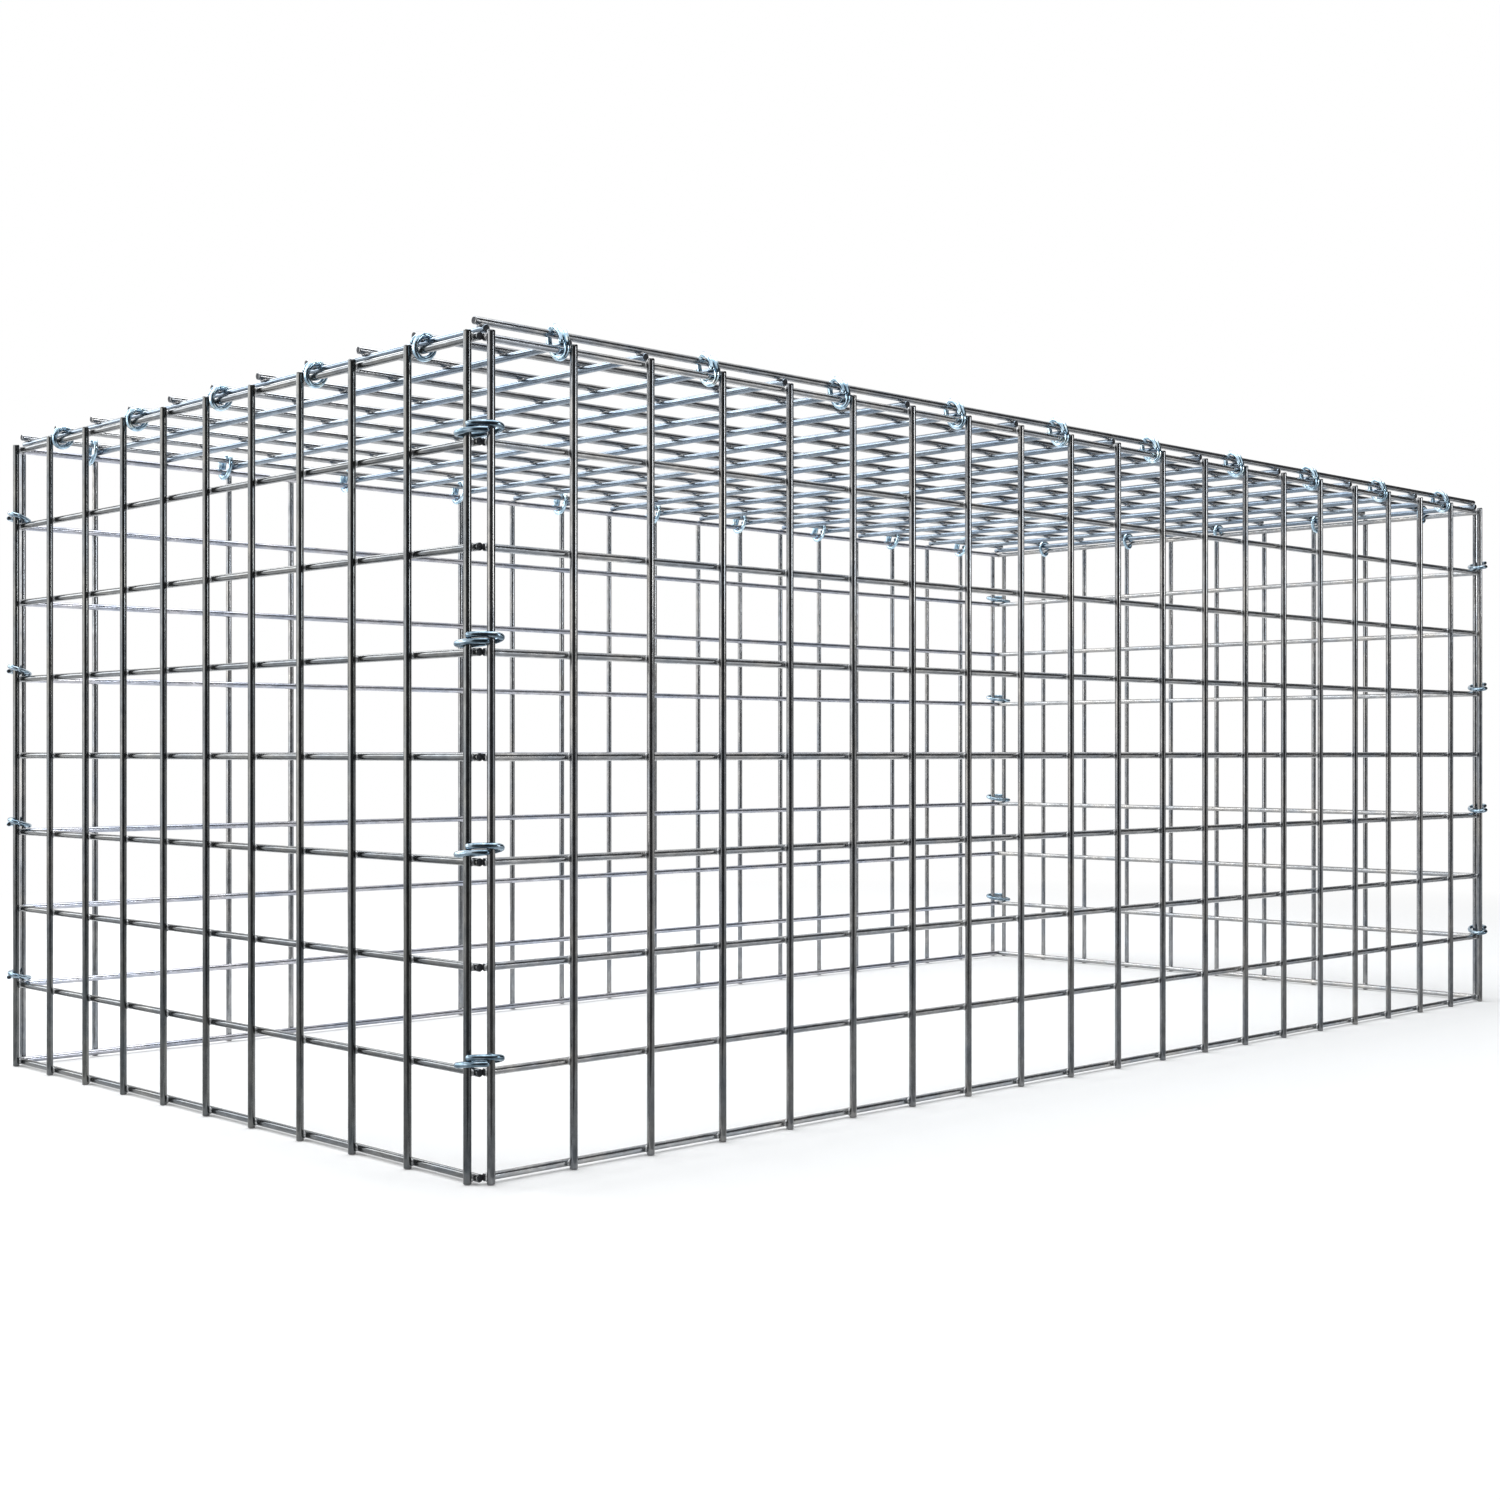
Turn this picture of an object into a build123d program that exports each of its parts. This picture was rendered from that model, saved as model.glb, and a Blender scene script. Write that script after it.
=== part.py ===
from build123d import *
from math import cos, radians, sin
import os

# A welded-mesh gabion basket: four side panels and a lid, open underneath, tied with closed wire rings.
# Millimetres. X runs along the length, Y from front to back, Z up.
# The origin is the middle of the footprint, at the level of the uprights' lower ends.

# Mesh
MESH_PITCH = 50.0  # centre to centre of the wires, both ways
CELLS_LONG = 20  # cells along X
CELLS_DEEP = 10  # cells along Y
CELLS_HIGH = 8  # cells along Z
WIRE = 4.0  # diameter of every mesh wire
WIRE_SIDES = 8  # the round wire is drawn with flats, four of them square to the mesh

# How the panels meet
CORNER_OFFSET = 8.0  # from a panel's end upright to the plane of the neighbouring panel's uprights
UPRIGHT_OVERHANG = 3.0  # upright past the axis of its top and bottom rail
LONG_RAIL_GAP = 0.6  # end of a front or back rail to the side of the side panel's rail
SHORT_RAIL_GAP = 1.3  # end of a side rail to the side of the front or back uprights
LID_SEAT = 0.2  # between the lid's cross wires and the top rails that they lie on
LID_REACH = 0.5  # lid wire past the axis of the top rail that carries it

# Rings
RING_WIRE = 3.0  # diameter of the ring wire
RING_WIDTH = 14.0  # outer width across the oval's short axis
RING_LAP_CLEARANCE = 0.2  # between the two lapping ends
LID_RING_PLAY = 0.4  # between a held wire and the inside of a lid ring's end
CORNER_RING_PLAY = 1.6  # the same in a corner ring, which is closed less tightly
RING_SIDE_CLEARANCE = 0.3  # from a lid ring to the wire that it stands beside
RING_SEAT = 0.75  # from the rails up to the low side of a corner ring, which lies on them
RING_TILT = 5.0  # degrees, one end of a corner ring higher than the other
RING_LEAN = 12.0  # degrees, the outer side of a corner ring higher than the inner one
RING_SPACING_CELLS = 2  # cells from one ring to the next along an edge

# Each ring is bent from straight runs of six-sided wire that enclose the true round oval
RING_TURN_RUNS = 12  # runs in one turn
RING_RUNS = 14  # runs in the whole ring, so two of them lap
RING_SECTION_SIDES = 6

# Worked out from the sizes above
length_inside = CELLS_LONG * MESH_PITCH
depth_inside = CELLS_DEEP * MESH_PITCH
side_plane = length_inside / 2 + CORNER_OFFSET  # X of the side panels' uprights
front_plane = depth_inside / 2 + CORNER_OFFSET  # Y of the front and back panels' uprights
low_rail = UPRIGHT_OVERHANG
top_rail = low_rail + CELLS_HIGH * MESH_PITCH
long_rail_overhang = CORNER_OFFSET - 1.5 * WIRE - LONG_RAIL_GAP
short_rail_overhang = CORNER_OFFSET - 0.5 * WIRE - SHORT_RAIL_GAP
lid_overhang = CORNER_OFFSET - WIRE + LID_REACH
lid_cross_height = top_rail + WIRE + LID_SEAT
lid_long_height = lid_cross_height + WIRE
ring_pitch = RING_WIRE + RING_LAP_CLEARANCE
ring_thickness = ring_pitch * RING_RUNS / RING_TURN_RUNS + RING_WIRE
ring_side_offset = (WIRE + ring_thickness) / 2 + RING_SIDE_CLEARANCE
ring_half_width = (RING_WIDTH - RING_WIRE) / 2
up = Vector(0, 0, 1)

os.makedirs("parts", exist_ok=True)


def parallel_wires(first, count, length):
    """Straight wires side by side: they start on the plane first and run along its normal."""
    with BuildPart() as wires:
        with BuildSketch(first):
            with Locations(*[(MESH_PITCH * number, 0) for number in range(count)]):
                RegularPolygon(WIRE / 2, WIRE_SIDES, major_radius=False, rotation=180 / WIRE_SIDES)
        extrude(amount=length)
    return wires.part


def mesh_panel(label, crossing, columns, rows, row_overhang, column_overhang):
    """A welded panel, its wires meeting flat to flat at every crossing.

    The plane crossing has its origin where the first row wire and the first column wire cross, on the
    row wire's axis. Row wires run along its X. Column wires run along its Y, one wire further out.
    """
    row_start = crossing.origin - crossing.x_dir * row_overhang
    row_wires = parallel_wires(
        Plane(row_start, x_dir=crossing.y_dir, z_dir=crossing.x_dir),
        rows + 1,
        columns * MESH_PITCH + 2 * row_overhang,
    )
    column_start = crossing.origin - crossing.y_dir * column_overhang + crossing.z_dir * WIRE
    column_wires = parallel_wires(
        Plane(column_start, x_dir=crossing.x_dir, z_dir=crossing.y_dir),
        columns + 1,
        rows * MESH_PITCH + 2 * column_overhang,
    )
    panel = Compound(label=label, children=[row_wires, column_wires])
    export_step(panel, f"parts/{label}.step")


def closed_ring(label, seat, half_length):
    """A ring bent round two wires, its ends lapping side by side on the outer side.

    The plane seat has its origin at the ring's centre, its X along the oval's long axis and its Y
    towards the side away from the lap. half_length is half of the long axis, to the wire's centre.
    """
    turn_step = 360 / RING_TURN_RUNS
    enclosing = 1 / cos(radians(turn_step / 2))
    first_turn = 90 - turn_step * RING_RUNS / 2
    bends = []
    for run in range(RING_RUNS + 1):
        turn = first_turn + run * turn_step
        across = half_length * enclosing * cos(radians(turn))
        inward = ring_half_width * enclosing * sin(radians(turn))
        along = ring_pitch * (90 - turn) / 360
        bends.append((across, inward, along))
    with BuildPart() as ring:
        with BuildLine(seat) as bent_wire:
            Polyline(*bends)
        start = bent_wire.line % 0
        with BuildSketch(Plane(bent_wire.line @ 0, x_dir=start.cross(seat.z_dir), z_dir=start)):
            RegularPolygon(RING_WIRE / 2, RING_SECTION_SIDES)
        sweep(path=bent_wire.wires()[0], transition=Transition.RIGHT)
    ring.part.label = label
    export_step(ring.part, f"parts/{label}.step")


def ring_seat(rail, edge_wire, outer_side):
    """The plane of a ring round two parallel wires, with its lap on the outer side."""
    long_axis = (edge_wire - rail).normalized()
    inward = -(outer_side - long_axis * outer_side.dot(long_axis)).normalized()
    return Plane((rail + edge_wire) / 2, x_dir=long_axis, z_dir=long_axis.cross(inward))


def ring_numbers(cells):
    """The numbers of the wires that have a ring: every second one, and no end wire."""
    return range(1, cells, RING_SPACING_CELLS)


# Side panels: rails inside, uprights outside
long_rail_plane = front_plane - WIRE
short_rail_plane = side_plane - WIRE

mesh_panel(
    "front_panel",
    Plane((-length_inside / 2, -long_rail_plane, low_rail), x_dir=(1, 0, 0), z_dir=(0, -1, 0)),
    CELLS_LONG, CELLS_HIGH, long_rail_overhang, UPRIGHT_OVERHANG,
)
mesh_panel(
    "back_panel",
    Plane((length_inside / 2, long_rail_plane, low_rail), x_dir=(-1, 0, 0), z_dir=(0, 1, 0)),
    CELLS_LONG, CELLS_HIGH, long_rail_overhang, UPRIGHT_OVERHANG,
)
mesh_panel(
    "left_panel",
    Plane((-short_rail_plane, depth_inside / 2, low_rail), x_dir=(0, -1, 0), z_dir=(-1, 0, 0)),
    CELLS_DEEP, CELLS_HIGH, short_rail_overhang, UPRIGHT_OVERHANG,
)
mesh_panel(
    "right_panel",
    Plane((short_rail_plane, -depth_inside / 2, low_rail), x_dir=(0, 1, 0), z_dir=(1, 0, 0)),
    CELLS_DEEP, CELLS_HIGH, short_rail_overhang, UPRIGHT_OVERHANG,
)

# Lid: cross wires on the top rails of the front and back panels, long wires on top of them
mesh_panel(
    "lid_panel",
    Plane((-length_inside / 2, depth_inside / 2, lid_cross_height), x_dir=(0, -1, 0), z_dir=(0, 0, 1)),
    CELLS_DEEP, CELLS_LONG, lid_overhang, lid_overhang,
)

# Corner rings: each one lies on the rails just above an odd rail and holds the two end uprights
corner_ring_half_length = (CORNER_OFFSET / sin(radians(45)) + WIRE + RING_WIRE) / 2 + CORNER_RING_PLAY
ring_rise = (WIRE + RING_WIRE) / 2 + RING_SEAT + ring_half_width * sin(radians(RING_LEAN))
corners = {
    "front_left": (-1, -1),
    "front_right": (1, -1),
    "back_right": (1, 1),
    "back_left": (-1, 1),
}
for corner, (side_x, side_y) in corners.items():
    middle = Vector(side_x * (side_plane - CORNER_OFFSET / 2), side_y * (front_plane - CORNER_OFFSET / 2), 0)
    inward = Vector(-side_x, -side_y, 0).normalized()
    for count, number in enumerate(ring_numbers(CELLS_HIGH), start=1):
        height = low_rail + number * MESH_PITCH + ring_rise
        level = Plane(middle + up * height, x_dir=inward.cross(up), z_dir=up)
        closed_ring(
            f"corner_ring_{corner}_{count}",
            Plane(level.location * Rotation(-RING_LEAN, -RING_TILT, 0)),
            corner_ring_half_length,
        )

# Lid rings: each one stands beside an odd wire and holds the lid's edge wire to the top rail under it
lid_edges = {
    "front": (Vector(0, -1, 0), Vector(1, 0, 0), front_plane, CELLS_LONG, lid_long_height),
    "back": (Vector(0, 1, 0), Vector(1, 0, 0), front_plane, CELLS_LONG, lid_long_height),
    "left": (Vector(-1, 0, 0), Vector(0, 1, 0), side_plane, CELLS_DEEP, lid_cross_height),
    "right": (Vector(1, 0, 0), Vector(0, 1, 0), side_plane, CELLS_DEEP, lid_cross_height),
}
for edge, (outward, along, plane_distance, cells, edge_wire_height) in lid_edges.items():
    rail = outward * (plane_distance - WIRE) + up * top_rail
    edge_wire = outward * (plane_distance - CORNER_OFFSET) + up * edge_wire_height
    half_length = ((edge_wire - rail).length + WIRE + RING_WIRE) / 2 + LID_RING_PLAY
    for count, number in enumerate(ring_numbers(cells), start=1):
        beside = along * ((number - cells / 2) * MESH_PITCH - ring_side_offset)
        closed_ring(
            f"lid_ring_{edge}_{count:02d}",
            ring_seat(rail + beside, edge_wire + beside, outward),
            half_length,
        )
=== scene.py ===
import math
import random

import bpy
import numpy as np
from mathutils import Matrix, Vector


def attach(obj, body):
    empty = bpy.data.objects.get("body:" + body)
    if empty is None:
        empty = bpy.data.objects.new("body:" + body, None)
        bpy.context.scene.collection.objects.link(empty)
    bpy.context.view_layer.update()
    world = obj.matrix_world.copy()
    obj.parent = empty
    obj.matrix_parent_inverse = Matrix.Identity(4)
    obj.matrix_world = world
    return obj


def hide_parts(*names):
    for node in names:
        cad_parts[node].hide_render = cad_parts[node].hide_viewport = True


# A welded-mesh gabion basket in smooth round wire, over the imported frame. Metres.
# X runs along the length, Y from front to back, Z up.

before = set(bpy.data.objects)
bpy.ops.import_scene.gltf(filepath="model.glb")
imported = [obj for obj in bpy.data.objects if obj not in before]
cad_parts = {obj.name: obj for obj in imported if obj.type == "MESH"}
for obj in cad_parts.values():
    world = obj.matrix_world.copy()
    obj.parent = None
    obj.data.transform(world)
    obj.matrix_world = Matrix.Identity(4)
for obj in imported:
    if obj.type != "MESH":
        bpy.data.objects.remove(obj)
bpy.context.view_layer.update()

# Mesh, as in the frame
PITCH = 0.050
CELLS_LONG = 20
CELLS_DEEP = 10
CELLS_HIGH = 8
WIRE = 0.004
CORNER_OFFSET = 0.008
UPRIGHT_OVERHANG = 0.003
LONG_RAIL_GAP = 0.0006
SHORT_RAIL_GAP = 0.0013
LID_SEAT = 0.0002
LID_REACH = 0.0005

# Rings, as in the frame
RING_WIRE = 0.003
RING_WIDTH = 0.014
RING_LAP_CLEARANCE = 0.0002
LID_RING_PLAY = 0.0004
CORNER_RING_PLAY = 0.0016
RING_SIDE_CLEARANCE = 0.0003
RING_SEAT = 0.00075
RING_TILT = math.radians(5.0)
RING_LEAN = math.radians(12.0)
RING_SPACING_CELLS = 2
RING_TURNS = 14 / 12  # fourteen runs of wire, twelve of them to a turn

# Detail of the visual wires
WIRE_SIDES = 20
RING_WIRE_SIDES = 14
RING_STEPS = 72
RING_END_NARROWING = (0.72, 0.97)  # the wire's width at the first two of those steps, from either end
CUT_CHAMFER = 0.00035  # length of the rounded edge at a sheared end
CUT_SHAPE = ((0.0, 0.84), (0.4, 0.95), (1.0, 1.0))  # how far along that edge, and the wire's width there
CUT_MARGIN = 0.0008  # the edge's shading ends this far past it
CUT_SLANT = 0.0003  # how far a sheared end slants
WELD_REACH = 0.0023  # half width of the squeezed-out metal at a weld
WELD_HEIGHT = 0.0011
WELD_SIDES = 10
WELD_ROWS = 5
WELD_LUMPINESS = 0.10
WIRE_TONE_SPREAD = 0.10  # how much lighter or darker one wire is, at random, than the others of its group
PATTERN_SPREAD = 50.0  # each wire shows the zinc's pattern from a place of its own, this far off at most

# Which of a piece's materials a face has
SURFACE, CUT_END, WELD_METAL = 0, 1, 2

random.seed(4556)

length_inside = CELLS_LONG * PITCH
depth_inside = CELLS_DEEP * PITCH
side_plane = length_inside / 2 + CORNER_OFFSET
front_plane = depth_inside / 2 + CORNER_OFFSET
long_rail_plane = front_plane - WIRE
short_rail_plane = side_plane - WIRE
low_rail = UPRIGHT_OVERHANG
top_rail = low_rail + CELLS_HIGH * PITCH
long_rail_overhang = CORNER_OFFSET - 1.5 * WIRE - LONG_RAIL_GAP
short_rail_overhang = CORNER_OFFSET - 0.5 * WIRE - SHORT_RAIL_GAP
lid_overhang = CORNER_OFFSET - WIRE + LID_REACH
lid_cross_height = top_rail + WIRE + LID_SEAT
lid_long_height = lid_cross_height + WIRE
ring_pitch = RING_WIRE + RING_LAP_CLEARANCE
ring_thickness = ring_pitch * RING_TURNS + RING_WIRE
ring_side_offset = (WIRE + ring_thickness) / 2 + RING_SIDE_CLEARANCE
ring_half_width = (RING_WIDTH - RING_WIRE) / 2
UP = Vector((0, 0, 1))


# ---------------------------------------------------------------- materials

class Nodes:
    """A short way to write the node tree of a material or a world."""

    def __init__(self, owner, output_kind):
        owner.use_nodes = True
        self.owner = owner
        self.tree = owner.node_tree
        self.tree.nodes.clear()
        self.output = self.new(output_kind)

    def new(self, kind):
        return self.tree.nodes.new(kind)

    def put(self, socket, value):
        """Gives a socket its value, or links it where the value is another node's output."""
        if isinstance(value, bpy.types.NodeSocket):
            self.tree.links.new(value, socket)
        else:
            socket.default_value = value

    def add(self, kind, **inputs):
        """A node with the named inputs, an underscore in a name standing for a space."""
        node = self.new(kind)
        for name, value in inputs.items():
            self.put(node.inputs[name.replace("_", " ")], value)
        return node

    def math(self, operation, *values, clamp=False):
        node = self.new("ShaderNodeMath")
        node.operation = operation
        node.use_clamp = clamp
        for socket, value in zip(node.inputs, values):
            self.put(socket, value)
        return node.outputs[0]

    def noise(self, vector, scale, detail, roughness):
        node = self.add(
            "ShaderNodeTexNoise", Vector=vector, Scale=scale, Detail=detail, Roughness=roughness,
        )
        return node.outputs["Fac"]

    def stretched(self, vector, lengthwise):
        """The place with its distance along the wire shrunk, which draws a pattern out along the wire."""
        node = self.new("ShaderNodeVectorMath")
        node.operation = "MULTIPLY"
        self.put(node.inputs[0], vector)
        self.put(node.inputs[1], (1.0, 1.0, lengthwise))
        return node.outputs[0]

    def object_place(self):
        return self.new("ShaderNodeTexCoord").outputs["Object"]

    def ramp(self, value, *stops):
        node = self.add("ShaderNodeValToRGB", Fac=value)
        while len(node.color_ramp.elements) < len(stops):
            node.color_ramp.elements.new(0.5)
        for element, (place, colour) in zip(node.color_ramp.elements, stops):
            element.position = place
            element.color = (*colour, 1.0)
        return node.outputs["Color"]

    def mix(self, factor, first, second, blend="MIX"):
        node = self.new("ShaderNodeMix")
        node.data_type = "RGBA"
        node.blend_type = blend
        # of the node's many inputs, these belong to a mix of colours
        factor_input, first_input, second_input = node.inputs[0], node.inputs[6], node.inputs[7]
        self.put(factor_input, factor)
        self.put(first_input, first)
        self.put(second_input, second)
        return node.outputs[2]

    def multiplied(self, first, second):
        """Two colours multiplied. A number counts as a grey."""
        return self.mix(1.0, first, second, "MULTIPLY")

    def between(self, value, low, high):
        """Carries a value from 0 to 1 over to a value from low to high."""
        return self.math("MULTIPLY_ADD", value, high - low, low)

    def attribute(self, name, output):
        node = self.new("ShaderNodeAttribute")
        node.attribute_name = name
        return node.outputs[output]

    def bump(self, height, strength, distance):
        node = self.add("ShaderNodeBump", Strength=strength, Distance=distance, Height=height)
        return node.outputs[0]

    def finish(self, **inputs):
        """Ends the tree in a surface with the named inputs."""
        shader = self.add("ShaderNodeBsdfPrincipled", **inputs)
        self.put(self.output.inputs["Surface"], shader.outputs[0])
        return self.owner


def material_nodes(name):
    return Nodes(bpy.data.materials.new(name), "ShaderNodeOutputMaterial")


def galvanised_wire():
    """Drawn and galvanised wire: grey zinc, softly mottled, with fine lengthwise streaks."""
    make = material_nodes("galvanised_wire")
    place = make.attribute("wire_space", "Vector")
    tone = make.attribute("tone_and_painted_light", "Color")
    along = make.attribute("wire_cells", "Fac")
    cloud = make.noise(place, scale=30.0, detail=3.0, roughness=0.6)
    mottle = make.noise(make.stretched(place, 0.3), scale=520.0, detail=3.0, roughness=0.6)
    streak = make.noise(make.stretched(place, 0.02), scale=1300.0, detail=2.0, roughness=0.5)
    zinc = make.ramp(
        mottle,
        (0.28, (0.112, 0.115, 0.118)),
        (0.46, (0.144, 0.147, 0.151)),
        (0.58, (0.165, 0.168, 0.172)),
        (0.74, (0.215, 0.219, 0.223)),
    )
    drift = make.ramp(
        cloud,
        (0.36, (1.12, 1.08, 1.03)),
        (0.64, (0.84, 0.88, 0.93)),
    )
    colour = make.multiplied(zinc, drift)
    colour = make.multiplied(colour, make.between(streak, 0.80, 1.20))
    # the wire's tone: a random difference from wire to wire, times the painted light of its group, lighter
    # or darker as that group stands in the light
    colour = make.multiplied(colour, tone)
    # the zinc is duller for a few millimetres on each side of a weld, which lies at a whole cell
    dull_reach, dull_rate, dull_share = 0.075, 16.0, 0.25
    offset = make.math("ABSOLUTE", make.math("SUBTRACT", along, make.math("ROUND", along)))
    inside = make.math("SUBTRACT", dull_reach, offset)
    near_weld = make.math("MULTIPLY", inside, dull_rate, clamp=True)
    dulled = make.math("MULTIPLY", near_weld, make.math("MULTIPLY", cloud, dull_share))
    colour = make.mix(dulled, colour, (0.085, 0.082, 0.080, 1.0))
    grain = make.math("ADD", make.math("MULTIPLY", streak, 0.8), mottle)
    return make.finish(
        Base_Color=colour,
        Metallic=0.92,
        Roughness=make.between(mottle, 0.09, 0.19),
        Normal=make.bump(grain, strength=0.008, distance=0.0002),
    )


def weld_metal():
    """Zinc and steel squeezed out at a weld: lumpy and lighter than the wire."""
    make = material_nodes("weld_metal")
    lump = make.noise(make.object_place(), scale=900.0, detail=3.0, roughness=0.6)
    colour = make.ramp(
        lump,
        (0.36, (0.22, 0.22, 0.225)),
        (0.50, (0.48, 0.49, 0.50)),
        (0.68, (0.72, 0.73, 0.74)),
    )
    return make.finish(
        Base_Color=colour,
        Metallic=0.8,
        Roughness=make.between(lump, 0.55, 0.30),
        Normal=make.bump(lump, strength=0.5, distance=0.0005),
    )


def cut_steel():
    """The bare face of a sheared end, dark and dull."""
    make = material_nodes("cut_steel")
    speck = make.noise(make.object_place(), scale=1600.0, detail=4.0, roughness=0.7)
    colour = make.ramp(
        speck,
        (0.35, (0.016, 0.018, 0.022)),
        (0.55, (0.038, 0.041, 0.048)),
        (0.75, (0.12, 0.125, 0.135)),
    )
    return make.finish(
        Base_Color=colour,
        Metallic=0.45,
        Roughness=0.62,
        Normal=make.bump(speck, strength=0.4, distance=0.0003),
    )


def bright_zinc():
    """The rings' bright zinc: bluer than the mesh, cloudy, with faint lengthwise streaks."""
    make = material_nodes("bright_zinc")
    place = make.attribute("wire_space", "Vector")
    tone = make.attribute("tone_and_painted_light", "Color")
    cloud = make.noise(place, scale=260.0, detail=3.0, roughness=0.5)
    streak = make.noise(make.stretched(place, 0.05), scale=1800.0, detail=2.0, roughness=0.5)
    zinc = make.ramp(
        cloud,
        (0.30, (0.095, 0.140, 0.180)),
        (0.50, (0.205, 0.285, 0.345)),
        (0.70, (0.400, 0.480, 0.545)),
    )
    colour = make.multiplied(zinc, make.between(streak, 0.82, 1.17))
    # the ring's tone: a random difference from ring to ring, times the painted light of its group of rings
    return make.finish(
        Base_Color=make.multiplied(colour, tone),
        Metallic=1.0,
        Roughness=make.between(cloud, 0.09, 0.22),
        Normal=make.bump(streak, strength=0.12, distance=0.0003),
    )


wire_material = galvanised_wire()
weld_material = weld_metal()
cut_material = cut_steel()
ring_material = bright_zinc()


# ---------------------------------------------------------------- meshes

def pattern_place():
    """A random place in the zinc's pattern."""
    return [random.uniform(0, PATTERN_SPREAD) for _ in range(3)]


class Wires:
    """Collects round wires and welds into one mesh, with the attributes that the materials read."""

    def __init__(self):
        self.vertices = []
        self.faces = []
        self.kinds = []
        self.smooth = []
        self.space = []
        self.tone = []
        self.cells = []

    def keep_point(self, point, space, tone, cells):
        self.vertices.append(tuple(point))
        self.space.append(space)
        self.tone.append(tone)
        self.cells.append(cells)

    def keep_face(self, corners, kind):
        self.faces.append(tuple(corners))
        self.kinds.append(kind)
        self.smooth.append(kind != CUT_END)

    def tube(self, centres, radii, firsts, seconds, distances, cells, tone, shift, sides, slants=None):
        """Sweeps a circle through the centres, one station each.

        firsts and seconds are the section's two directions at each station. distances and cells say
        how far along the wire it lies, in metres and in cells. shift is the wire's own place in the
        zinc's pattern. slants moves one side of the section along the wire.
        """
        base = len(self.vertices)
        angles = [2 * math.pi * number / sides for number in range(sides)]
        for station, centre in enumerate(centres):
            radius = radii[station]
            for angle in angles:
                cosine, sine = math.cos(angle), math.sin(angle)
                point = centre + (firsts[station] * cosine + seconds[station] * sine) * radius
                if slants:
                    point = point + slants[station] * (cosine - 1.0)
                space = (
                    cosine * radius + shift[0],
                    sine * radius + shift[1],
                    distances[station] + shift[2],
                )
                self.keep_point(point, space, tone, cells[station])
        for station in range(len(centres) - 1):
            low = base + station * sides
            high = low + sides
            for number in range(sides):
                following = (number + 1) % sides
                self.keep_face((low + number, low + following, high + following, high + number), SURFACE)
        last = base + (len(centres) - 1) * sides
        self.keep_face([base + number for number in reversed(range(sides))], CUT_END)
        self.keep_face([last + number for number in range(sides)], CUT_END)

    def straight(self, start, direction, length, side, overhang, tone):
        """One straight mesh wire with sheared ends."""
        other = direction.cross(side)
        near_end = [CUT_CHAMFER * place for place, _ in CUT_SHAPE] + [CUT_CHAMFER + CUT_MARGIN]
        narrowing = [width for _, width in CUT_SHAPE] + [1.0]
        stations = near_end + [length - place for place in reversed(near_end)]
        radii = [WIRE / 2 * part for part in narrowing + narrowing[::-1]]
        turn = random.uniform(0, 2 * math.pi)
        first = side * math.cos(turn) + other * math.sin(turn)
        second = direction.cross(first)
        slant = direction * (CUT_SLANT * random.uniform(0.3, 1.0) / 2)
        none = Vector((0, 0, 0))
        slants = [-slant, -slant, none, none, none, none, slant, slant]
        self.tube(
            [start + direction * place for place in stations],
            radii,
            [first] * len(stations),
            [second] * len(stations),
            stations,
            [(place - overhang) / PITCH for place in stations],
            tone,
            pattern_place(),
            WIRE_SIDES,
            slants,
        )

    def weld(self, centre, first, second, normal):
        """Metal squeezed out between two crossing wires: a flat lump that shows in the four corners."""
        base = len(self.vertices)
        # each lump differs a little
        reach_first = WELD_REACH * random.uniform(0.88, 1.08)
        reach_second = WELD_REACH * random.uniform(0.88, 1.08)
        height = WELD_HEIGHT * random.uniform(0.85, 1.1)
        phase = random.uniform(0, math.pi)
        tone = [random.uniform(0.85, 1.1)] * 3

        points = [centre - normal * height]
        for row in range(1, WELD_ROWS):
            level = -math.pi / 2 + math.pi * row / WELD_ROWS
            for number in range(WELD_SIDES):
                angle = phase + 2 * math.pi * number / WELD_SIDES
                lump = 1.0 + WELD_LUMPINESS * math.sin(3 * angle + phase * 5)
                flat = math.cos(level) * lump
                points.append(
                    centre
                    + first * (math.cos(angle) * flat * reach_first)
                    + second * (math.sin(angle) * flat * reach_second)
                    + normal * (math.sin(level) * height)
                )
        points.append(centre + normal * height)
        for point in points:
            self.keep_point(point, tuple(point), tone, 0.0)

        bottom, top = base, base + len(points) - 1
        lowest_row = base + 1
        highest_row = top - WELD_SIDES
        for number in range(WELD_SIDES):
            following = (number + 1) % WELD_SIDES
            self.keep_face((bottom, lowest_row + following, lowest_row + number), WELD_METAL)
            for low in range(lowest_row, highest_row, WELD_SIDES):
                high = low + WELD_SIDES
                self.keep_face((low + number, low + following, high + following, high + number), WELD_METAL)
            self.keep_face((highest_row + number, highest_row + following, top), WELD_METAL)

    def build(self, name, materials):
        mesh = bpy.data.meshes.new(name)
        mesh.from_pydata(self.vertices, [], self.faces)
        mesh.polygons.foreach_set("material_index", self.kinds)
        mesh.polygons.foreach_set("use_smooth", self.smooth)
        attributes = (
            ("wire_space", "FLOAT_VECTOR", "vector", self.space),
            ("tone_and_painted_light", "FLOAT_VECTOR", "vector", self.tone),
            ("wire_cells", "FLOAT", "value", self.cells),
        )
        for attribute_name, kind, field, values in attributes:
            attribute = mesh.attributes.new(attribute_name, kind, "POINT")
            attribute.data.foreach_set(field, np.array(values, dtype=np.float32).ravel())
        for material in materials:
            mesh.materials.append(material)
        mesh.update()
        piece = bpy.data.objects.new(name, mesh)
        bpy.context.scene.collection.objects.link(piece)
        return piece


def place_piece(piece, node):
    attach(piece, "root")
    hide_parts(node)


def painted_light_with_random_tone(tone):
    """The tone of one wire: its group's painted light level, made a little lighter or darker at random."""
    change = random.uniform(1 - WIRE_TONE_SPREAD, 1 + WIRE_TONE_SPREAD)
    return [part * change for part in tone]


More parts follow.
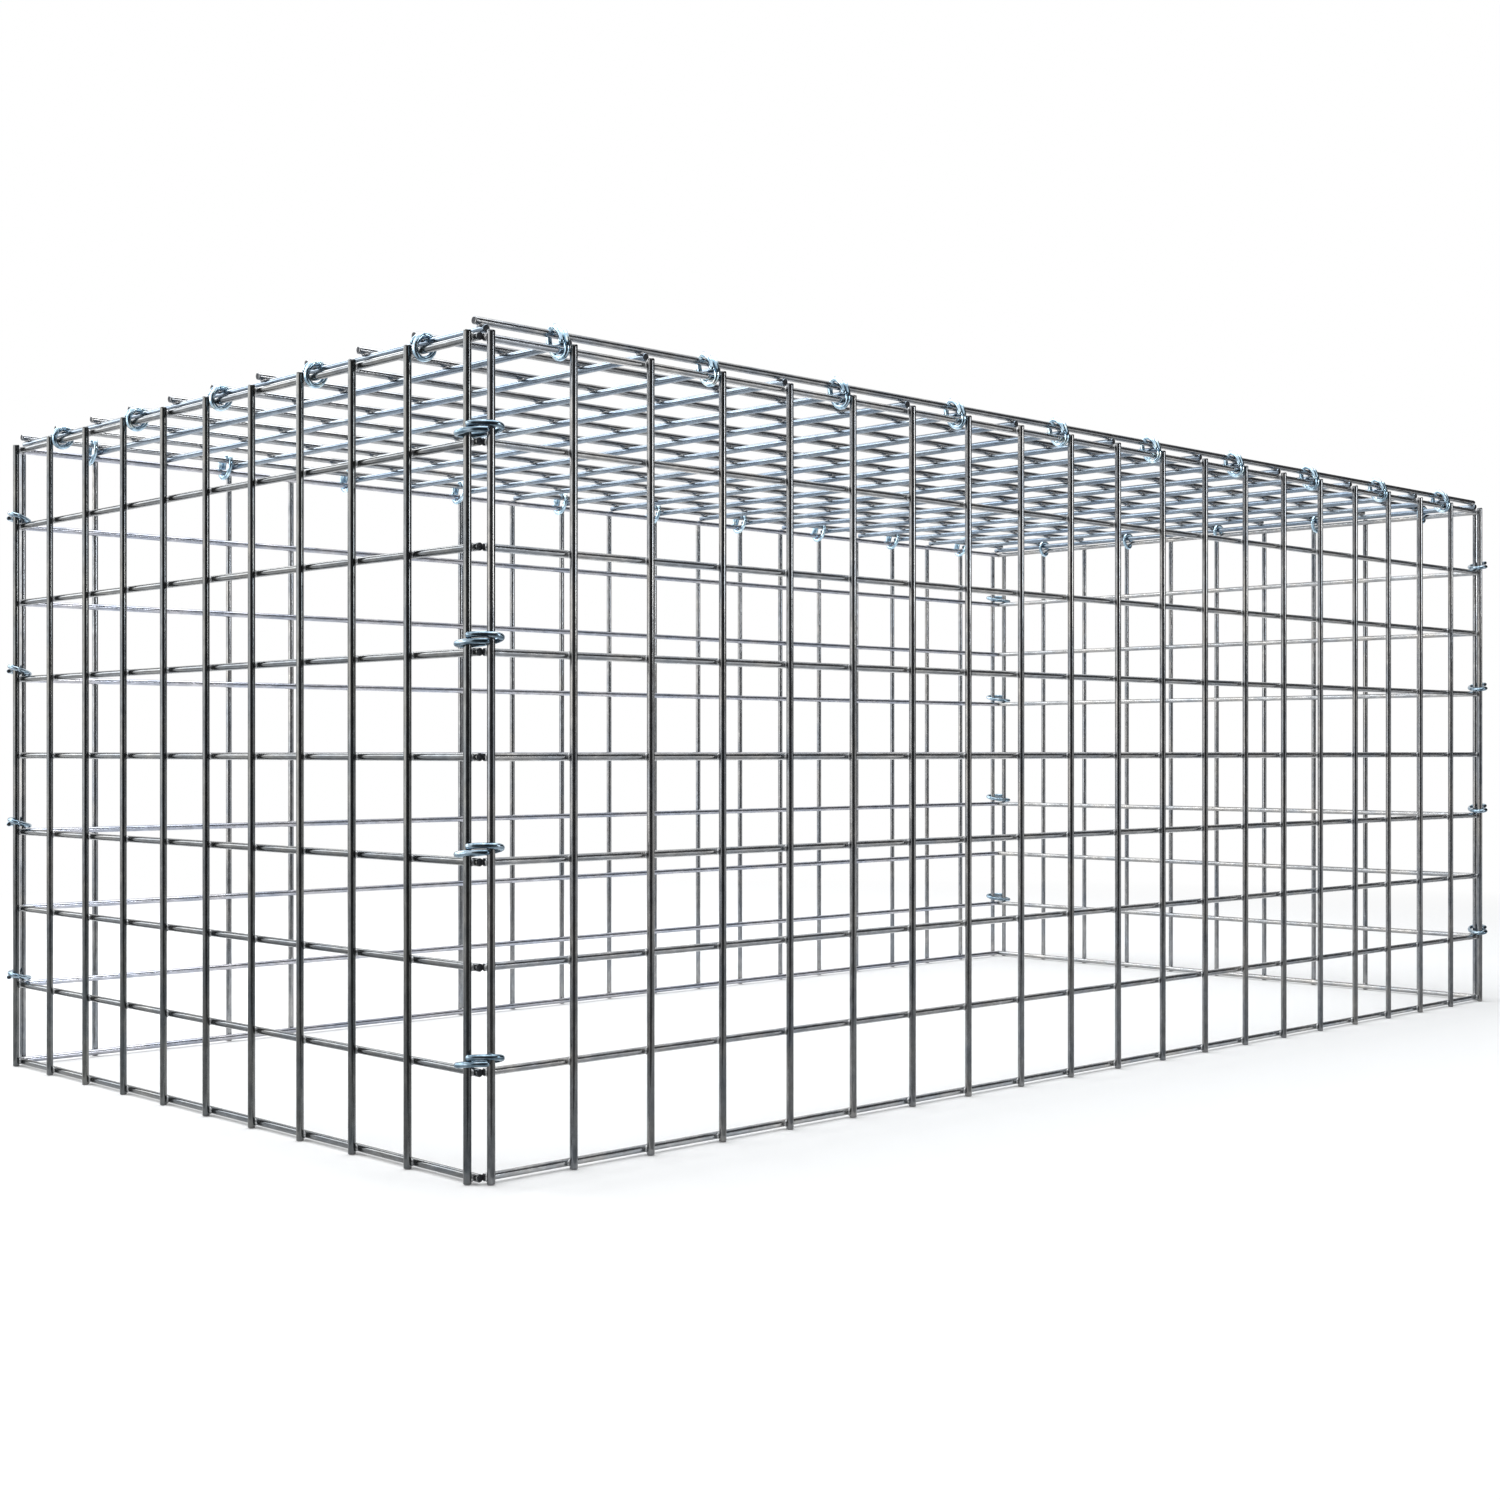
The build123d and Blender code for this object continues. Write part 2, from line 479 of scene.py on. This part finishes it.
def mesh_panel(
    node, origin, row_axis, normal, columns, rows, row_overhang, column_overhang, row_painted_light, column_painted_light,
):
    """A welded panel: row wires along row_axis, column wires one wire further out along the normal.

    origin is where the first row wire and the first column wire cross, on the row wire's axis.
    """
    origin, row_axis, normal = Vector(origin), Vector(row_axis), Vector(normal)
    column_axis = normal.cross(row_axis)
    row_length = columns * PITCH + 2 * row_overhang
    column_length = rows * PITCH + 2 * column_overhang
    wires = Wires()
    for number in range(rows + 1):
        start = origin + column_axis * (PITCH * number) - row_axis * row_overhang
        wires.straight(start, row_axis, row_length, normal, row_overhang, painted_light_with_random_tone(row_painted_light))
    for number in range(columns + 1):
        start = origin + row_axis * (PITCH * number) - column_axis * column_overhang + normal * WIRE
        wires.straight(start, column_axis, column_length, normal, column_overhang, painted_light_with_random_tone(column_painted_light))
    for column in range(columns + 1):
        for row in range(rows + 1):
            across = row_axis * (PITCH * column) + column_axis * (PITCH * row)
            wires.weld(origin + across + normal * (WIRE / 2), row_axis, column_axis, normal)
    piece = wires.build(f"wires_{node}", [wire_material, cut_material, weld_material])
    place_piece(piece, node)


def closed_ring(node, centre, long_axis, inward, half_length, tone):
    """A ring bent round two wires in an oval, its ends lapping side by side on the outer side."""
    normal = long_axis.cross(inward)
    centres, firsts, seconds, distances = [], [], [], []
    turned = math.pi * RING_TURNS
    travelled = 0.0
    for step in range(RING_STEPS + 1):
        turn = math.pi / 2 - turned + 2 * turned * step / RING_STEPS
        along = ring_pitch * (math.pi / 2 - turn) / (2 * math.pi)
        point = (
            centre
            + long_axis * (half_length * math.cos(turn))
            + inward * (ring_half_width * math.sin(turn))
            + normal * along
        )
        forward = (
            long_axis * (-half_length * math.sin(turn))
            + inward * (ring_half_width * math.cos(turn))
            - normal * (ring_pitch / (2 * math.pi))
        ).normalized()
        if centres:
            travelled += (point - centres[-1]).length
        outward = forward.cross(normal).normalized()
        centres.append(point)
        firsts.append(outward)
        seconds.append(forward.cross(outward))
        distances.append(travelled)
    radii = [RING_WIRE / 2] * len(centres)
    for place, narrowing in enumerate(RING_END_NARROWING):
        radii[place] = radii[-1 - place] = RING_WIRE / 2 * narrowing
    between_welds = [0.5] * len(centres)  # in cells, so no weld dulls the ring's zinc
    shift = pattern_place()
    wires = Wires()
    wires.tube(
        centres, radii, firsts, seconds, distances, between_welds, painted_light_with_random_tone(tone), shift, RING_WIRE_SIDES,
    )
    piece = wires.build(f"wire_{node}", [ring_material, cut_material])
    place_piece(piece, node)


def ring_numbers(cells):
    """The numbers of the wires that have a ring: every second one, and no end wire."""
    return range(1, cells, RING_SPACING_CELLS)


# Painted light: how much lighter or darker each group of wires is drawn, against the plain zinc, as that
# group stands in the light and reflects it; these are lit and shaded copies of the one zinc
FRONT_RAILS = (3.05, 3.05, 3.06)
FRONT_UPRIGHTS = (1.37, 1.37, 1.37)
BACK_RAILS = (3.05, 3.07, 3.34)
BACK_UPRIGHTS = (1.78, 1.80, 1.83)
LEFT_RAILS = (1.06, 1.09, 1.10)
LEFT_UPRIGHTS = (0.88, 0.90, 0.89)
RIGHT_RAILS = (2.5, 2.47, 2.43)
RIGHT_UPRIGHTS = BACK_UPRIGHTS
LID_CROSS_WIRES = (1.28, 1.53, 1.80)
LID_LONG_WIRES = (2.42, 2.44, 2.48)

# The same painted light for the rings, against the rings' own zinc: the lid rings drawn lighter than the
# corner rings, as they stand in the light
LID_RINGS = (2.4, 2.4, 2.4)
CORNER_RINGS = (1.15, 1.16, 1.18)

mesh_panel(
    "front_panel",
    origin=(-length_inside / 2, -long_rail_plane, low_rail), row_axis=(1, 0, 0), normal=(0, -1, 0),
    columns=CELLS_LONG, rows=CELLS_HIGH,
    row_overhang=long_rail_overhang, column_overhang=UPRIGHT_OVERHANG,
    row_painted_light=FRONT_RAILS, column_painted_light=FRONT_UPRIGHTS,
)
mesh_panel(
    "back_panel",
    origin=(length_inside / 2, long_rail_plane, low_rail), row_axis=(-1, 0, 0), normal=(0, 1, 0),
    columns=CELLS_LONG, rows=CELLS_HIGH,
    row_overhang=long_rail_overhang, column_overhang=UPRIGHT_OVERHANG,
    row_painted_light=BACK_RAILS, column_painted_light=BACK_UPRIGHTS,
)
mesh_panel(
    "left_panel",
    origin=(-short_rail_plane, depth_inside / 2, low_rail), row_axis=(0, -1, 0), normal=(-1, 0, 0),
    columns=CELLS_DEEP, rows=CELLS_HIGH,
    row_overhang=short_rail_overhang, column_overhang=UPRIGHT_OVERHANG,
    row_painted_light=LEFT_RAILS, column_painted_light=LEFT_UPRIGHTS,
)
mesh_panel(
    "right_panel",
    origin=(short_rail_plane, -depth_inside / 2, low_rail), row_axis=(0, 1, 0), normal=(1, 0, 0),
    columns=CELLS_DEEP, rows=CELLS_HIGH,
    row_overhang=short_rail_overhang, column_overhang=UPRIGHT_OVERHANG,
    row_painted_light=RIGHT_RAILS, column_painted_light=RIGHT_UPRIGHTS,
)
mesh_panel(
    "lid_panel",
    origin=(-length_inside / 2, depth_inside / 2, lid_cross_height), row_axis=(0, -1, 0), normal=(0, 0, 1),
    columns=CELLS_DEEP, rows=CELLS_LONG,
    row_overhang=lid_overhang, column_overhang=lid_overhang,
    row_painted_light=LID_CROSS_WIRES, column_painted_light=LID_LONG_WIRES,
)

# Corner rings lie on the side rails and hold the two end uprights
corner_half_length = (CORNER_OFFSET * math.sqrt(2) + WIRE + RING_WIRE) / 2 + CORNER_RING_PLAY
ring_rise = (WIRE + RING_WIRE) / 2 + RING_SEAT + ring_half_width * math.sin(RING_LEAN)
lean_and_tilt = Matrix.Rotation(-RING_LEAN, 3, "X") @ Matrix.Rotation(-RING_TILT, 3, "Y")
corners = {"front_left": (-1, -1), "front_right": (1, -1), "back_right": (1, 1), "back_left": (-1, 1)}
for corner, (side_x, side_y) in corners.items():
    inward = Vector((-side_x, -side_y, 0)).normalized()
    level = Matrix((inward.cross(UP), inward, UP)).transposed()
    turned = level @ lean_and_tilt
    centre_x = side_x * (side_plane - CORNER_OFFSET / 2)
    centre_y = side_y * (front_plane - CORNER_OFFSET / 2)
    for count, number in enumerate(ring_numbers(CELLS_HIGH), start=1):
        centre = Vector((centre_x, centre_y, low_rail + number * PITCH + ring_rise))
        closed_ring(
            f"corner_ring_{corner}_{count}",
            centre, turned.col[0].copy(), turned.col[1].copy(), corner_half_length, CORNER_RINGS,
        )

# Lid rings stand beside a mesh wire and hold the lid's edge wire to the top rail under it
lid_edges = {
    "front": ((0, -1, 0), (1, 0, 0), front_plane, CELLS_LONG, lid_long_height),
    "back": ((0, 1, 0), (1, 0, 0), front_plane, CELLS_LONG, lid_long_height),
    "left": ((-1, 0, 0), (0, 1, 0), side_plane, CELLS_DEEP, lid_cross_height),
    "right": ((1, 0, 0), (0, 1, 0), side_plane, CELLS_DEEP, lid_cross_height),
}
for edge, (outward, along, plane_distance, cells, edge_wire_height) in lid_edges.items():
    outward, along = Vector(outward), Vector(along)
    rail = outward * (plane_distance - WIRE) + UP * top_rail
    edge_wire = outward * (plane_distance - CORNER_OFFSET) + UP * edge_wire_height
    long_axis = (edge_wire - rail).normalized()
    inward = -(outward - long_axis * outward.dot(long_axis)).normalized()
    half_length = ((edge_wire - rail).length + WIRE + RING_WIRE) / 2 + LID_RING_PLAY
    for count, number in enumerate(ring_numbers(cells), start=1):
        beside = along * ((number - cells / 2) * PITCH - ring_side_offset)
        closed_ring(
            f"lid_ring_{edge}_{count:02d}",
            (rail + edge_wire) / 2 + beside, long_axis, inward, half_length, LID_RINGS,
        )


# ---------------------------------------------------------------- floor, light and camera

WHITE = (1.0, 1.0, 1.0, 1.0)

# Floor
FLOOR_HALF = 30.0
FLOOR_DROP = 0.0002  # below the uprights' feet
FLOOR_COLOUR = (0.88, 0.88, 0.88, 1.0)
FLOOR_LIFT = 0.14  # light of its own, so that it shows nearly white
WHITE_FROM = 1.0  # from this far off, the floor begins to run into the white background
WHITE_RATE = 1.3

# World
WORLD_LIGHT = 0.35
WORLD_COLOUR = (0.97, 0.985, 1.0, 1.0)

# Cloths, which the wires reflect
DARK_CLOTH_COLOUR = (0.03, 0.03, 0.032, 1.0)
GREY_CLOTH_COLOUR = (0.46, 0.465, 0.47, 1.0)
CURVE_RADIUS = 2.3  # two of the dark cloths end on one curve behind the camera
CURVE_FIRST = math.radians(203.0)
CURVE_LAST = math.radians(276.0)
CURVE_STEPS = 12
CURVED_CLOTH_HEIGHT = 1.6
DARK_CLOTH_LIFT = 0.002  # off the floor
GREY_CLOTH_LIFT = 0.001
FLOOR_CLOTH_TIP = (-0.56, -0.33, DARK_CLOTH_LIFT)  # just off the basket's front left corner
GREY_CLOTH_PARTS = ((-1.3, -1.1, 1.6, -0.27), (-1.3, -0.27, -0.53, 0.6))  # left, front, right, back
HIGH_CLOTH_PLACE = (1.5, -1.15, 1.08)
HIGH_CLOTH_ALONG = (0.45, 0.9, -0.42)
HIGH_CLOTH_HALF_LENGTH = 1.95
HIGH_CLOTH_HALF_WIDTH = 0.95

BASKET_MIDDLE = Vector((0, 0, 0.2))  # what the lamps and the high cloth are turned to

# Lamps: name, place, the direction of the width, width, height, watts and colour
COOL = (0.965, 0.985, 1.0)
WARM = (1.0, 0.975, 0.94)
LAMPS = (
    ("softbox_overhead", (0.0, 0.0, 2.5), (1.0, 0.0, 0.0), 2.0, 2.0, 46.0, COOL),
    ("strip_front_low", (0.59, -2.367, 0.66), (0.970, 0.242, 0.0), 0.68, 0.45, 10.0, COOL),
    ("softbox_back", (-1.45, 2.2, 1.15), (0.36, 0.76, -0.3), 1.4, 0.8, 12.0, COOL),
    ("softbox_back_high", (-0.1, 1.85, 1.85), (1.0, 0.0, 0.0), 1.2, 1.0, 12.0, COOL),
    ("softbox_left_high", (-1.6, 1.2, 1.8), (0.6, 0.8, -0.2), 1.3, 0.8, 15.0, COOL),
    ("softbox_left", (-2.4, 0.6, 0.55), (0.24, 0.97, 0.0), 2.2, 1.0, 14.0, WARM),
)

# Camera, fitted to the wire crossings of the photograph
CAMERA_PLACE = (-1.0697, -1.0332, 0.2058)
CAMERA_TURN = (math.radians(90.0), 0.0, -0.7732)  # level
CAMERA_LENS = 48.148
CAMERA_SENSOR = 36.0
CAMERA_SHIFT_X = -0.0151
CAMERA_SHIFT_Y = 0.0008
CAMERA_CLIP = 0.01


def seen_by_eye_or_reflection(make):
    """1 for what the camera sees, straight or in a wire, and 0 for the light that falls on things."""
    path = make.new("ShaderNodeLightPath").outputs
    seen = make.math("MAXIMUM", path["Is Camera Ray"], path["Is Glossy Ray"])
    return make.math("MAXIMUM", seen, path["Is Transmission Ray"])


def make_floor():
    """A white floor: close by it shows its own light and shadow, further off only white."""
    half = FLOOR_HALF
    floor_corners = [(-half, -half, 0), (half, -half, 0), (half, half, 0), (-half, half, 0)]
    mesh = bpy.data.meshes.new("floor")
    mesh.from_pydata(floor_corners, [], [(0, 1, 2, 3)])
    floor = bpy.data.objects.new("floor", mesh)
    floor.location.z = -FLOOR_DROP
    bpy.context.scene.collection.objects.link(floor)

    make = material_nodes("floor_white")
    seen = seen_by_eye_or_reflection(make)
    matt = make.add(
        "ShaderNodeBsdfPrincipled", Base_Color=FLOOR_COLOUR, Roughness=0.9, Specular_IOR_Level=0.1,
    )
    lift = make.add("ShaderNodeEmission", Color=WHITE, Strength=make.math("MULTIPLY", seen, FLOOR_LIFT))
    near = make.new("ShaderNodeAddShader")
    make.put(near.inputs[0], matt.outputs[0])
    make.put(near.inputs[1], lift.outputs[0])
    reach = make.new("ShaderNodeVectorMath")
    reach.operation = "LENGTH"
    make.put(reach.inputs[0], make.object_place())
    past = make.math("SUBTRACT", reach.outputs["Value"], WHITE_FROM)
    far = make.math("MULTIPLY", past, WHITE_RATE, clamp=True)
    white = make.add("ShaderNodeEmission", Color=WHITE, Strength=1.0)
    both = make.new("ShaderNodeMixShader")
    make.put(both.inputs[0], make.math("MULTIPLY", far, seen))
    make.put(both.inputs[1], near.outputs[0])
    make.put(both.inputs[2], white.outputs[0])
    make.put(make.output.inputs["Surface"], both.outputs[0])
    mesh.materials.append(make.owner)


def make_world():
    """A world that lights the scene softly and looks white."""
    world = bpy.data.worlds.new("studio")
    make = Nodes(world, "ShaderNodeOutputWorld")
    light = make.add("ShaderNodeBackground", Color=WORLD_COLOUR, Strength=WORLD_LIGHT)
    white = make.add("ShaderNodeBackground", Color=WHITE, Strength=1.0)
    both = make.new("ShaderNodeMixShader")
    make.put(both.inputs[0], seen_by_eye_or_reflection(make))
    make.put(both.inputs[1], light.outputs[0])
    make.put(both.inputs[2], white.outputs[0])
    make.put(make.output.inputs["Surface"], both.outputs[0])
    bpy.context.scene.world = world


def turned_to_basket(place, along):
    """A place, and the turn that faces it to the basket with its width in the direction along."""
    away = (Vector(place) - BASKET_MIDDLE).normalized()
    across = away.cross(Vector(along)).normalized()
    return Vector(place), Matrix((across.cross(away), across, away)).transposed()


def make_lamp(name, place, along, width, height, power, colour):
    """A softbox turned to the basket, its width in the direction along."""
    light = bpy.data.lights.new(name, "AREA")
    light.shape = "RECTANGLE"
    light.size = width
    light.size_y = height
    light.energy = power
    light.color = colour
    lamp = bpy.data.objects.new(name, light)
    centre, turned = turned_to_basket(place, along)
    lamp.matrix_world = Matrix.Translation(centre) @ turned.to_4x4()
    lamp.visible_camera = False
    bpy.context.scene.collection.objects.link(lamp)


def make_cloth(name, points, faces, material, only_reflected=False):
    """A cloth that the camera does not see. Where it is only reflected, the floor keeps its light."""
    mesh = bpy.data.meshes.new(name)
    mesh.from_pydata(points, [], faces)
    mesh.materials.append(material)
    cloth = bpy.data.objects.new(name, mesh)
    cloth.visible_camera = False
    cloth.visible_diffuse = not only_reflected
    cloth.visible_shadow = not only_reflected
    bpy.context.scene.collection.objects.link(cloth)


def curve_point(step, level):
    """A point of the curve behind the camera that the dark cloths end on."""
    turn = CURVE_FIRST + (CURVE_LAST - CURVE_FIRST) * step / CURVE_STEPS
    return (CURVE_RADIUS * math.cos(turn), CURVE_RADIUS * math.sin(turn), level)


def make_cloth_behind_camera(material):
    """A curved cloth behind the camera: the line down the middle of every upright."""
    points = []
    for step in range(CURVE_STEPS + 1):
        points += [curve_point(step, 0.0), curve_point(step, CURVED_CLOTH_HEIGHT)]
    faces = [(low, low + 2, low + 3, low + 1) for low in range(0, 2 * CURVE_STEPS, 2)]
    make_cloth("cloth_behind_camera", points, faces, material)


def make_cloth_on_floor(material):
    """The same cloth run out over the floor to the front left corner, for the uprights' lower halves."""
    points = [FLOOR_CLOTH_TIP]
    points += [curve_point(step, DARK_CLOTH_LIFT) for step in range(CURVE_STEPS + 1)]
    faces = [(0, step + 1, step + 2) for step in range(CURVE_STEPS)]
    make_cloth("cloth_on_floor", points, faces, material, only_reflected=True)


def make_grey_cloth_on_floor(material):
    """A grey cloth along the front and the left side: the rails' darker undersides."""
    level = GREY_CLOTH_LIFT
    points, faces = [], []
    for left, front, right, back in GREY_CLOTH_PARTS:
        base = len(points)
        points += [(left, front, level), (right, front, level), (right, back, level), (left, back, level)]
        faces.append((base, base + 1, base + 2, base + 3))
    make_cloth("grey_cloth_on_floor", points, faces, material, only_reflected=True)


def make_cloth_overhead(material):
    """A flat cloth high on the right: the dark line along every lengthwise wire."""
    centre, turned = turned_to_basket(HIGH_CLOTH_PLACE, HIGH_CLOTH_ALONG)
    across = turned.col[0] * HIGH_CLOTH_HALF_LENGTH
    up = turned.col[1] * HIGH_CLOTH_HALF_WIDTH
    points = [centre - across - up, centre + across - up, centre + across + up, centre - across + up]
    make_cloth("cloth_overhead", points, [(0, 1, 2, 3)], material)


def make_camera():
    lens = bpy.data.cameras.new("camera")
    lens.sensor_fit = "HORIZONTAL"
    lens.sensor_width = CAMERA_SENSOR
    lens.lens = CAMERA_LENS
    lens.shift_x = CAMERA_SHIFT_X
    lens.shift_y = CAMERA_SHIFT_Y
    lens.clip_start = CAMERA_CLIP
    camera = bpy.data.objects.new("camera", lens)
    camera.location = CAMERA_PLACE
    camera.rotation_euler = CAMERA_TURN
    bpy.context.scene.collection.objects.link(camera)
    bpy.context.scene.camera = camera


make_floor()
make_world()
dark_cloth = material_nodes("dark_cloth").finish(Base_Color=DARK_CLOTH_COLOUR, Roughness=1.0)
grey_cloth = material_nodes("grey_cloth").finish(Base_Color=GREY_CLOTH_COLOUR, Roughness=1.0)
make_cloth_behind_camera(dark_cloth)
make_cloth_on_floor(dark_cloth)
make_grey_cloth_on_floor(grey_cloth)
make_cloth_overhead(dark_cloth)
for lamp in LAMPS:
    make_lamp(*lamp)
make_camera()
bpy.context.scene.view_settings.view_transform = "Standard"
